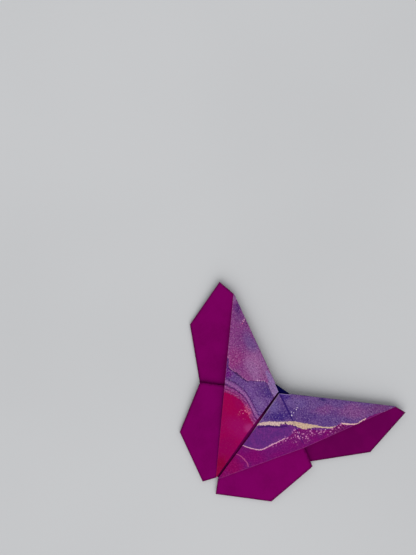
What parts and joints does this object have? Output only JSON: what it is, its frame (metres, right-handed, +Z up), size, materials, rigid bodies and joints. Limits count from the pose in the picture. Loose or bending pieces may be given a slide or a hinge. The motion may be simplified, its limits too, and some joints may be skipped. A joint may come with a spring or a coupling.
{
  "type": "origami butterfly",
  "caption": "Flat folded paper butterfly with pointed forewings, a slit down its back, print flaps on top and plain wing edges.",
  "frame": {"origin": "centre of the bounding box, on the table", "axes": "+Z up from the table to the print flaps, +Y towards the head, +X towards the right wing"},
  "size_m": [0.1564, 0.1218, 0.0088],
  "materials": {
    "paper": "matte plain side, marbled print on the other side"
  },
  "bodies": {
    "root": {"folded_sheet": "paper"}
  },
  "joints": []
}
